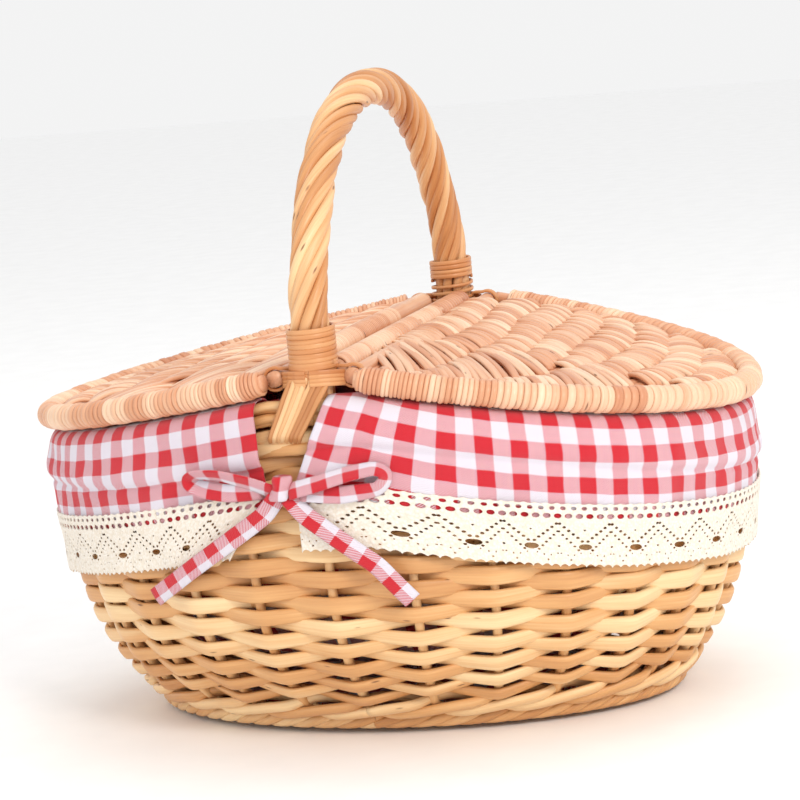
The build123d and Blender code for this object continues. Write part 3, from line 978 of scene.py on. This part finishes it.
# %% Sticks
for side_name, way in side_sign.items():
    body = f"lid_{side_name}"
    low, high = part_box(f"{body}_hinge_stick")
    _, _, lift = lid_space(side_name)
    stick = Rods(sides=14)
    y = np.linspace(low.y, high.y, 60)
    half = (high.z - low.z) / 2 * (1 + 0.03 * np.sin(y / 0.02))
    stick.lay(to_lid(side_name, 0 * y, y, 0.0), lift, half, half, 0.45)
    fit(stick.piece(f"{body}_pivot_rod"), lid_finish, body, f"{body}_hinge_stick")

    low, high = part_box(f"{body}_edge_stick")
    setback, half = -13.1 * mm, 6.3 * mm
    proud = 3.2 * mm if way < 0 else -1.2 * mm
    edge = Rods(sides=16, squareness=0.95)
    y = np.linspace(low.y, high.y, 90)
    swelling = 1 + 0.03 * np.sin(y / 0.017) + 0.05 * np.exp(-((y - 52 * mm) / (3 * mm)) ** 2)
    body_half = half * swelling * (0.86 if way > 0 else 0.93)
    edge.lay(to_lid(side_name, setback + 0 * y, y, proud), lift, body_half, body_half, 0.55)
    turn_wide = 2.6 * mm if way < 0 else 4.6 * mm
    stop = 30 * mm if way < 0 else high.y - 2 * mm
    turns = (stop - low.y - 2 * mm) / turn_wide
    places = np.linspace(0, turns, int(turns * 20))
    angle = 2 * math.pi * places
    _, out, lift = lid_space(side_name)
    facing = out * np.cos(angle)[:, None] + lift * np.sin(angle)[:, None]
    middle = to_lid(side_name, setback + 0 * places, low.y + 1.5 * mm + turn_wide * places, proud)
    skein = middle + facing * (half + 0.05 * mm)
    edge.ring = 2 * math.pi * (np.arange(8) + 0.5) / 8
    edge.squareness = 0.6
    for part in range(0, len(places) - 40, 200):
        cut = slice(part, min(part + 203, len(places)))
        edge.lay(skein[cut], facing[cut], turn_wide * 0.53, 0.6 * mm if way < 0 else 0.9 * mm)
    fit(edge.piece(f"{body}_straight_edge"), lid_finish, body, f"{body}_edge_stick")

# %% [markdown]
# ## Checked cotton
# Gingham is a plain weave of red and white yarns in equal stripes both ways: where two red
# stripes cross it is red, where two white ones cross it is white, and elsewhere the two yarns
# show as fine slanting dots. The cloth carries its own flat coordinates in metres, so the
# checks keep their size wherever it bends.

# %% Gingham
def gingham(name, check=8.4 * mm):
    finish = Finish(name)
    cloth = finish.fact("cloth")
    wander = finish.noise(finish.stretch(cloth, (60.0, 60.0, 60.0)), 2.0)
    parts = finish.put("SeparateXYZ", Vector=cloth)
    stripes = []
    for axis in (0, 1):
        moved = finish.math("ADD", parts.outputs[axis], finish.math("MULTIPLY", wander, 1.6 * mm))
        wave = finish.ripple(moved, 2 * check)
        edge = finish.put("MapRange", i0=wave, i1=-0.06, i2=0.06, i3=0.0, i4=1.0).outputs[0]
        stripes.append(edge)
    yarn = 1.2 * mm
    slant = finish.math("ADD", parts.outputs[0], parts.outputs[1])
    twill = finish.ripple(slant, yarn)
    warp = finish.ripple(parts.outputs[0], yarn * 0.7)
    weft = finish.ripple(parts.outputs[1], yarn * 0.5)
    threads = finish.math("MULTIPLY", warp, weft)
    cross = finish.math("SUBTRACT", parts.outputs[0], parts.outputs[1])
    knots = finish.ripple(cross, yarn * 0.62)
    dots = finish.math("ADD", finish.math("MULTIPLY", twill, 0.3), finish.math("MULTIPLY", knots, 0.26))
    dots = finish.math("ADD", dots, 0.5)
    both = finish.math("MULTIPLY", stripes[0], stripes[1])
    either = finish.math("MAXIMUM", stripes[0], stripes[1])
    only_one = finish.math("SUBTRACT", either, both)
    speck = finish.put("MapRange", i0=dots, i1=0.25, i2=0.72, i3=0.0, i4=1.0).outputs[0]
    redness = finish.math("ADD", both, finish.math("MULTIPLY", only_one, speck))
    redness = finish.math("ADD", redness, finish.math("MULTIPLY", threads, 0.07))
    colour = finish.mix(redness, shade(232, 226, 236), shade(208, 30, 44))
    finish.surface(Base_Color=colour, Roughness=0.85, Specular_IOR_Level=0.2)
    finish.surface(Sheen_Weight=0.25, Sheen_Roughness=0.5)
    height = finish.math("ADD", threads, finish.math("MULTIPLY", twill, 0.6))
    finish.bump(height, 0.12 * mm, 0.8)
    return finish.material


cotton = gingham("gingham")
cloth_thick = 0.9 * mm


# %% Cloth surface from a grid
def cloth_piece(name, grid, flat, thick):
    """A sheet from a grid of points, with its flat coordinates and a thickness."""
    rows, columns = grid.shape[:2]
    index = np.arange(rows * columns).reshape(rows, columns)
    quads = np.stack([index[:-1, :-1], index[:-1, 1:], index[1:, 1:], index[1:, :-1]], -1)
    flat3 = np.concatenate([flat, np.zeros((rows, columns, 1))], -1).reshape(-1, 3)
    made = make_mesh(name, grid.reshape(-1, 3), quads.reshape(-1, 4), [], {"cloth": flat3})
    thicken = made.modifiers.new("cloth_thickness", "SOLIDIFY")
    thicken.thickness = thick
    thicken.offset = 0
    print(f"{name}: {rows} x {columns} points")
    return made


# %% [markdown]
# ## The liner
# The liner is a bag of checked cotton inside the basket. Its top turns out over the rim in two
# flaps, which are open at the handle and tied there. A sheet is laid as a grid: one
# direction goes round the basket and the other comes up inside, over the rim and down
# outside. Soft folds are added to the second half, where nothing holds the cloth.

# %% Bag inside
bag_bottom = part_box("liner_bag")[0].z + 1.5 * mm
bag_in = -17.0 * mm
bag_slack = 20 * mm


def soft(turn, height, seed):
    """Gentle uneven waves, the same each run."""
    made = 0.0
    for k, (often, tall) in enumerate(((7, 1.0), (13, 0.6), (23, 0.4), (41, 0.22))):
        drift = 1.7 * np.sin(height * (60 + 25 * k) + seed)
        made = made + tall * np.sin(often * turn + seed * (k + 1.3) + drift)
    return made / 2.2


turn, level = np.meshgrid(np.linspace(0, 2 * math.pi, 361), np.linspace(0, 1, 40))
height = bag_bottom + (rim_at(turn) - 3 * mm - bag_bottom) * level
wrinkle = 0.9 * mm * soft(turn, height, 3.0) * np.sin(math.pi * level)
grid, _ = on_wall(turn, height, bag_in - bag_slack * smooth(1.25 - 1.5 * level) + wrinkle)
flat = np.stack([turn * 0.152, height * 1.12], -1)
bag = cloth_piece("liner_bag_side", grid, flat, cloth_thick)
fit(bag, cotton, "basket", "liner_bag")

# %% Bag floor
ring, turn = np.meshgrid(np.linspace(0.02, 1, 40), np.linspace(0, 2 * math.pi, 181))
edge_points, _ = on_wall(turn[:, 0], bag_bottom, bag_in - bag_slack)
grid = np.stack([
    edge_points[:, None, 0] * ring,
    edge_points[:, None, 1] * ring,
    bag_bottom + 0.5 * mm * soft(turn, ring * 0.1, 1.0) * (1 - ring),
], -1)
floor_cloth = cloth_piece("liner_bag_floor", grid, grid[..., :2].copy(), cloth_thick)
fit(floor_cloth, cotton, "basket", "liner_bag")

# %% Where the flaps stop
split_front = (-30 * mm, 8 * mm)
flap_drop = 46 * mm


def flap_ends(side_name):
    """Angles round the rim where a flap starts and stops, from its front to its back edge."""
    if side_name == "right":
        return -math.acos(split_front[1] / belly[0]), math.acos(-split_front[0] / belly[0])
    return -math.acos(split_front[0] / belly[0]), -2 * math.pi + math.acos(-split_front[1] / belly[0])


def round_the_rim(turn):
    """Distance along the rim's oval from its right end to an angle."""
    fine = np.linspace(-2 * math.pi, math.pi, 3001)
    step = np.hypot(belly[0] * np.sin(fine), belly[1] * np.cos(fine)) * (fine[1] - fine[0])
    return np.interp(turn, fine, np.cumsum(step))


def pulled(side_name, turn, first, last, fullness, slant=0.0):
    """The ties draw the edges of the slits along: angles of points moved by that pull."""
    front_pull, back_pull = (-19 * mm, -4 * mm) if side_name == "right" else (4 * mm, 19 * mm)
    front_slant, back_slant = (0.0, 26 * mm) if side_name == "right" else (-26 * mm, 0.0)
    near_front = smooth(1 - np.abs(turn - first) * belly[0] / (80 * mm))
    near_back = smooth(1 - np.abs(turn - last) * belly[0] / (80 * mm))
    move = near_front * (front_pull * fullness + front_slant * slant)
    move = move + near_back * (back_pull * fullness + back_slant * slant)
    slope = -belly[0] * np.sin(turn)
    return turn + move / np.where(np.abs(slope) < 0.05, 1.0, slope)


# %% Flap
def flap_grid(side_name, rows):
    """The fold over the rim, as distances out from the wall and down from the fold."""
    profile = np.array([
        (-15.2, 16.0), (-15.4, 8.0), (-14.0, 2.2), (-9.0, 0.3), (-2.0, 0.4),
        (2.6, 2.2), (5.0, 7.0), (5.8, 15.0), (5.4, 27.0), (4.6, 38.0), (3.4, 55.0),
    ]) * mm
    run = run_along(profile)
    even = np.linspace(0, run[-1], rows)
    out = np.interp(even, run, profile[:, 0])
    down = np.interp(even, run, profile[:, 1])
    smoothing = np.ones(5) / 5
    out = np.convolve(np.pad(out, 2, "edge"), smoothing, "valid")
    down = np.convolve(np.pad(down, 2, "edge"), smoothing, "valid")
    return out, down, even


for side_name, way in side_sign.items():
    out, down, even = flap_grid(side_name, 64)
    first, last = flap_ends(side_name)
    turn, row = np.meshgrid(np.linspace(first, last, 420), np.arange(64))
    loose = smooth((down[row] - 3 * mm) / (14 * mm)) * (out[row] > 0)
    turn_here = pulled(side_name, turn, first, last, np.clip((down[row] - 1 * mm) / (42 * mm), 0, 1))
    folds = 1.5 * mm * soft(turn * 1.6, down[row], 2.0 + way)
    crease_at = 30 * mm + 5 * mm * np.sin(turn * 2.1 + way)
    ridge = 1.9 * mm * np.exp(-((down[row] - crease_at + 6 * mm) / (6 * mm)) ** 2)
    ridge -= 1.5 * mm * np.exp(-((down[row] - crease_at) / (1.9 * mm)) ** 2)
    puff = loose * (np.maximum(folds, -1.1 * mm) + ridge) * smooth((60 * mm - down[row]) / (20 * mm))
    grid, _ = on_wall(turn_here, rim_at(turn_here) - down[row], out[row] + puff)
    along_hem = round_the_rim(turn)
    edge_gap = np.abs(along_hem - round_the_rim(first if way > 0 else last))
    skew = 0.32 * 40 * mm * (1 - np.exp(-edge_gap / (40 * mm)))
    flat = np.stack([along_hem, even[row] - skew], -1)
    flap = cloth_piece(f"flap_{side_name}", grid, flat, cloth_thick)
    fit(flap, cotton, "basket", f"liner_flap_{side_name}")

# %% [markdown]
# ## Crochet lace
# The hems are edged with a band of cotton lace, sewn over the lower edge of each flap. Its holes
# are real holes: one repeat of the pattern is described by the outlines of its
# eyelets, cut out of a fine grid of cells, repeated along the hem and bent round the wall.

# %% Lace finish
def lace_finish(name):
    finish = Finish(name)
    cloth = finish.fact("cloth")
    thread = finish.noise(finish.stretch(cloth, (1500.0, 1500.0, 1.0)), 2.0)
    loops = finish.put("TexVoronoi", Vector=finish.stretch(cloth, (760.0, 620.0, 1.0)), Scale=1.0)
    tone = finish.math("ADD", finish.math("MULTIPLY", thread, 0.5), loops.outputs["Distance"])
    colour = finish.ramp(tone, [(0.1, shade(248, 243, 236)), (1.0, shade(232, 221, 204))])
    finish.surface(Base_Color=colour, Roughness=0.9, Specular_IOR_Level=0.15, Sheen_Weight=0.2)
    height = finish.math("SUBTRACT", finish.math("MULTIPLY", thread, 0.5), loops.outputs["Distance"])
    finish.bump(height, 0.4 * mm, 0.9)
    return finish.material


crochet = lace_finish("lace")

# %% One repeat of the lace
repeat = 27.0  # in millimetres, as are the eyelets
lace_height = 33.5
eyelets = []
for k in range(5):
    eyelets.append(((k + 0.5) * 5.4, 2.9, 1.45, 1.05))
    eyelets.append((k * 5.4, 6.9, 1.95, 1.35))
for k in range(6):
    fan = k / 5
    for lean in (-1, 1):
        eyelets.append((13.5 + lean * (1.5 + 11.2 * fan), 20.0 - 9.0 * fan, 1.0, 0.7))
        eyelets.append((13.5 + lean * (3.6 + 9.6 * fan), 24.5 - 9.5 * fan, 0.85, 0.6))
for lean in (-1, 1):
    for k in range(4):
        eyelets.append((13.5 + lean * (2.5 + 3.4 * k), 26.0 + 1.3 * math.sin(k), 0.6, 0.42))
    eyelets.append((13.5 + lean * 7.8, 29.6, 0.6, 0.5))
eyelets.append((13.5, 22.9, 3.6, 1.55))
eyelets.append((0.0, 22.6, 0.8, 0.6))
eyelets.append((13.5, 14.2, 0.7, 0.5))


def lace_solid(u, v):
    """Positive where there is thread, negative in a hole or past the edge, in millimetres."""
    made = np.full(np.broadcast(u, v).shape, 9.0)
    for eu, ev, half_u, half_v in eyelets:
        du = (u - eu + repeat / 2) % repeat - repeat / 2
        away = np.sqrt((du / half_u) ** 2 + ((v - ev) / half_v) ** 2)
        made = np.minimum(made, (away - 1) * min(half_u, half_v))
    top_edge = 0.2 + 0.7 * np.abs(np.sin(math.pi * u / 5.4))
    low_edge = lace_height - 0.4 - 1.5 * np.abs(np.sin(math.pi * u / 4.5)) ** 0.7
    return np.minimum(made, np.minimum(v - top_edge, low_edge - v))


# %% Cut the cells
def cut_cells(columns, rows, cell):
    """Cells of one repeat, each clipped to the thread, as corner lists in flat millimetres."""
    u = np.arange(columns + 1) * (repeat / columns)
    v = np.arange(rows + 1) * cell
    value = lace_solid(u[:, None], v[None])
    made = []
    for i in range(columns):
        for j in range(rows):
            corners = [(i, j), (i + 1, j), (i + 1, j + 1), (i, j + 1)]
            values = [value[c] for c in corners]
            if max(values) <= 0:
                continue
            outline = []
            for k in range(4):
                here, after = corners[k], corners[(k + 1) % 4]
                a, b = values[k], values[(k + 1) % 4]
                if a > 0:
                    outline.append((u[here[0]], v[here[1]]))
                if (a > 0) != (b > 0):
                    share = np.clip(a / (a - b), 0.12, 0.88)
                    outline.append((
                        u[here[0]] + (u[after[0]] - u[here[0]]) * share,
                        v[here[1]] + (v[after[1]] - v[here[1]]) * share,
                    ))
            if len(outline) > 2:
                made.append(outline)
    return made


lace_cells = cut_cells(44, 55, 0.61)
print("cells in one repeat of lace:", len(lace_cells))

# %% Lace bands
def lace_band(side_name):
    first, last = flap_ends(side_name)
    hem = abs(round_the_rim(last) - round_the_rim(first)) / mm
    repeats = round(hem / repeat)
    seen, points, quads, triangles = {}, [], [], []

    def corner(u, v):
        key = (round(u * 400), round(v * 400))
        if key not in seen:
            seen[key] = len(points)
            points.append((u, v))
        return seen[key]

    for copy in range(repeats):
        for outline in lace_cells:
            ids = [corner(u + copy * repeat, v) for u, v in outline]
            if len(ids) == 4:
                quads.append(ids)
            else:
                triangles.extend((ids[0], ids[k], ids[k + 1]) for k in range(1, len(ids) - 1))
    flat = np.array(points)
    steps = np.linspace(first, last, 2000)
    share_of_hem = np.abs(round_the_rim(steps) - round_the_rim(first)) / (hem * mm)
    turn = np.interp(flat[:, 0] / (repeats * repeat), share_of_hem, steps)
    turn = pulled(side_name, turn, first, last, 1.0, flat[:, 1] / lace_height)
    down = flap_drop - 1.0 * mm + flat[:, 1] * mm
    share = flat[:, 1] / lace_height
    out = (5.7 - 2.7 * smooth(share * 1.5)) * mm
    out += 0.9 * mm * soft(turn * 2.2, down, 5.0) * smooth((share - 0.2) / 0.5)
    place, _ = on_wall(turn, rim_at(turn) - down, out)
    flat3 = np.column_stack([flat * mm, np.zeros(len(flat))])
    piece = make_mesh(f"lace_band_{side_name}", place, quads, triangles, {"cloth": flat3})
    thicken = piece.modifiers.new("lace_thickness", "SOLIDIFY")
    thicken.thickness = 0.8 * mm
    thicken.offset = 0
    print(f"lace_band_{side_name}: {repeats} repeats, {len(points)} points")
    return piece, repeats * repeat * mm


for side_name in side_sign:
    band, hem_length = lace_band(side_name)
    fit(band, crochet, "basket", f"lace_{side_name}")

# %% [markdown]
# ## The bows
# Each slit is closed by two cotton ties, knotted in a bow. A tie is a folded strip about 10 mm
# wide. The loops go out from the knot and come back, and the tails lie down on the weave.

# %% Tie along a route
def tie(name, route, width, tilts, turned):
    """A folded strip along (across, up, stand-off) points of the front, tilted on its way."""
    route = np.array(route, float)
    knots = run_along(route)
    fine = np.linspace(0, knots[-1], max(int(knots[-1] / 1.5), 24))
    line = np.stack([np.interp(fine, knots, route[:, k]) for k in range(3)], -1)
    for _ in range(6):
        line[1:-1] = (line[:-2] + 2 * line[1:-1] + line[2:]) / 4
    line *= mm
    a, b = wall_half(line[:, 1])
    turn = -np.arccos(np.clip(line[:, 0] / (a + line[:, 2]), -1, 1))
    points = np.stack([line[:, 0], (b + line[:, 2]) * np.sin(turn), line[:, 1]], -1)
    _, away = on_wall(turn, line[:, 1], 0.0)
    along = unit(np.gradient(points, axis=0))
    across = unit(np.cross(along, away))
    angle = np.interp(np.linspace(0, 1, len(points)), np.linspace(0, 1, len(tilts)), tilts)
    tilted = across * np.cos(angle)[:, None] + away * np.sin(angle)[:, None]
    facing = unit(np.cross(along, -tilted))
    place = np.linspace(-1, 1, 9)
    grid = points[:, None] + tilted[:, None] * (width / 2 * place)[:, None]
    grid = grid + facing[:, None] * (0.5 * mm * (1 - place**2))[None, :, None]
    if turned:
        grid = grid * np.array([-1, -1, 1])
    run = run_along(points)
    flat = np.stack([
        np.broadcast_to(run[:, None], grid.shape[:2]) + 3 * mm,
        np.broadcast_to(place * 5 * mm, grid.shape[:2]),
    ], -1)
    return cloth_piece(name, grid, flat, cloth_thick), run[-1]


# %% Tie the bows
knot_low, knot_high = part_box("bow_front_knot")
knot_x, knot_z = (knot_low.x + knot_high.x) / 2 / mm, (knot_low.z + knot_high.z) / 2 / mm
loop_routes = {
    "left": [(-4, -2, 11), (-16, 3, 13), (-34, 7, 12), (-49, 7, 11), (-53, 3, 9.5),
             (-47, -1, 8.5), (-30, -3, 8.5), (-12, -2, 9)],
    "right": [(4, -2, 11), (17, 1, 12), (36, 6, 11), (50, 8, 10.5), (55, 4, 9.5),
              (50, -3, 9), (30, -5, 9), (10, -3, 9)],
}
tail_routes = {
    "left": [(-3, -5, 11), (-11, -14, 9), (-28, -25, 7.5), (-52, -40, 7), (-83, -60, 6)],
    "right": [(4, -5, 11), (10, -14, 9), (27, -28, 7.5), (45, -42, 7), (60, -61, 6)],
}
ties = {  # routes, width, tilts along the strip, and how it is held
    "loop": (loop_routes, 9.0 * mm, (0.5, 0.7, 1.0, 0.2, -0.4), "folded"),
    "tail": (tail_routes, 9.6 * mm, (0.5, 0.1, 0.0, 0.05), "hung"),
}
for end in end_sign:
    for side_name in side_sign:
        for part, (routes, width, tilts, held) in ties.items():
            route = [(knot_x + x, knot_z + z, off) for x, z, off in routes[side_name]]
            strip, length = tie(f"bow_{end}_{part}_{side_name}", route, width, tilts, end == "back")
            fit(strip, cotton, "basket", f"bow_{end}_{part}s")

# %% Knots
def knot(name, turned):
    """A soft crossing band pinched in the middle of the bow."""
    around, across = np.meshgrid(np.linspace(0, 2 * math.pi, 40, endpoint=False), np.linspace(-1, 1, 13))
    pinch = 1 - 0.12 * np.cos(math.pi * across) - 0.28 * across**4
    pull = 0.5 * mm * np.sin(3 * around + 2 * across)
    x = knot_x * mm + (5.2 * mm * pinch + pull) * np.cos(around) + across * 1.2 * mm
    z = knot_z * mm + across * 6.2 * mm
    skin = -belly[1] * math.sqrt(1 - (knot_x * mm / belly[0]) ** 2)
    y = skin - 11.6 * mm + (4.4 * mm * pinch + pull) * np.sin(around)
    points = np.stack([x, y, z], -1)
    if turned:
        points = points * np.array([-1, -1, 1])
    rows, columns = points.shape[:2]
    index = np.arange(rows * columns).reshape(rows, columns)
    after = np.roll(index, -1, 1)
    quads = np.stack([index[:-1], after[:-1], after[1:], index[1:]], -1).reshape(-1, 4)
    caps = []
    verts = points.reshape(-1, 3)
    for row, order in ((0, -1), (rows - 1, 1)):
        centre = len(verts)
        verts = np.vstack([verts, points[row].mean(0)])
        pairs = np.stack([index[row], after[row]], -1)[:, ::order]
        caps.append(np.column_stack([pairs, np.full(columns, centre)]))
    flat = np.stack([around * 5 * mm, across * 7 * mm, 0 * around], -1).reshape(-1, 3)
    flat = np.vstack([flat, np.zeros((2, 3))])
    return make_mesh(name, verts, quads, np.vstack(caps), {"cloth": flat})


for end in end_sign:
    made = knot(f"bow_{end}_knot_cloth", end == "back")
    fit(made, cotton, "basket", f"bow_{end}_knot")

# %% [markdown]
# ## Floor, light and camera
# The basket stands on a pale floor under large soft lights, as in a studio. The main light is in
# front and above, a little to the right, and a bright surround lifts the shadows.

# %% Floor
bpy.context.scene.view_settings.view_transform = "Standard"
floor_half = 6.0
corners = [(-floor_half, -floor_half, 0), (floor_half, -floor_half, 0),
           (floor_half, floor_half, 0), (-floor_half, floor_half, 0)]
studio_floor = make_mesh("studio_floor", corners, [(0, 1, 2, 3)], [], {})
paper = Finish("floor_paper")
fibres = paper.noise(paper.put("TexCoord").outputs["Object"], 4.0, 30.0)
pale = paper.ramp(fibres, [(0.3, shade(250, 250, 250)), (0.7, shade(254, 254, 254))])
paper.surface(Base_Color=pale, Roughness=0.9)
studio_floor.data.materials.append(paper.material)


# %% Lights
def stand(thing, right, above, back, place):
    """Put a light or the camera in its place, looking away from `back`."""
    bpy.context.scene.collection.objects.link(thing)
    columns = np.column_stack([right, above, back, place])
    thing.matrix_world = Matrix([*columns.tolist(), [0, 0, 0, 1]])


def soft_light(name, place, size, power, colour):
    """A square lamp that faces the middle of the basket."""
    lamp = bpy.data.lights.new(name, "AREA")
    lamp.shape = "SQUARE"
    lamp.size = size
    lamp.energy = power
    lamp.color = colour
    back = unit(np.array(place) - np.array([0, 0, 0.13]))
    right = unit(np.cross([0, 0, 1.0], back))
    stand(bpy.data.objects.new(name, lamp), right, np.cross(back, right), back, place)


soft_light("key", (1.25, -1.35, 1.25), size=0.6, power=19, colour=(1.0, 0.96, 0.91))
soft_light("fill", (-1.4, -1.3, 0.9), size=1.2, power=3, colour=(1.0, 0.98, 0.96))
soft_light("top", (0.1, 0.4, 1.9), size=1.2, power=6, colour=(1.0, 0.99, 0.97))
world = bpy.data.worlds.new("studio")
world.use_nodes = True
surround = world.node_tree.nodes["Background"].inputs
surround[0].default_value = (1, 1, 1, 1)
surround[1].default_value = 0.9
bpy.context.scene.world = world

# %% Camera
azimuth, elevation, lean = math.radians(16.60), math.radians(8.59), math.radians(-5.195)
distance = 1.5958
aim_at = np.array([0.0024, 0.0, 0.1628])
back = np.array([
    math.sin(azimuth) * math.cos(elevation),
    -math.cos(azimuth) * math.cos(elevation),
    math.sin(elevation),
])
right = np.array([math.cos(azimuth), math.sin(azimuth), 0.0])
above = np.cross(back, right)
camera_x = right * math.cos(lean) + above * math.sin(lean)
camera_y = above * math.cos(lean) - right * math.sin(lean)
lens = bpy.data.cameras.new("studio_camera")
lens.lens = 131.8
lens.sensor_width = 36.0
lens.clip_start = 0.01
lens.dof.use_dof = False
camera = bpy.data.objects.new("studio_camera", lens)
stand(camera, camera_x, camera_y, back, aim_at + back * distance)
bpy.context.scene.camera = camera
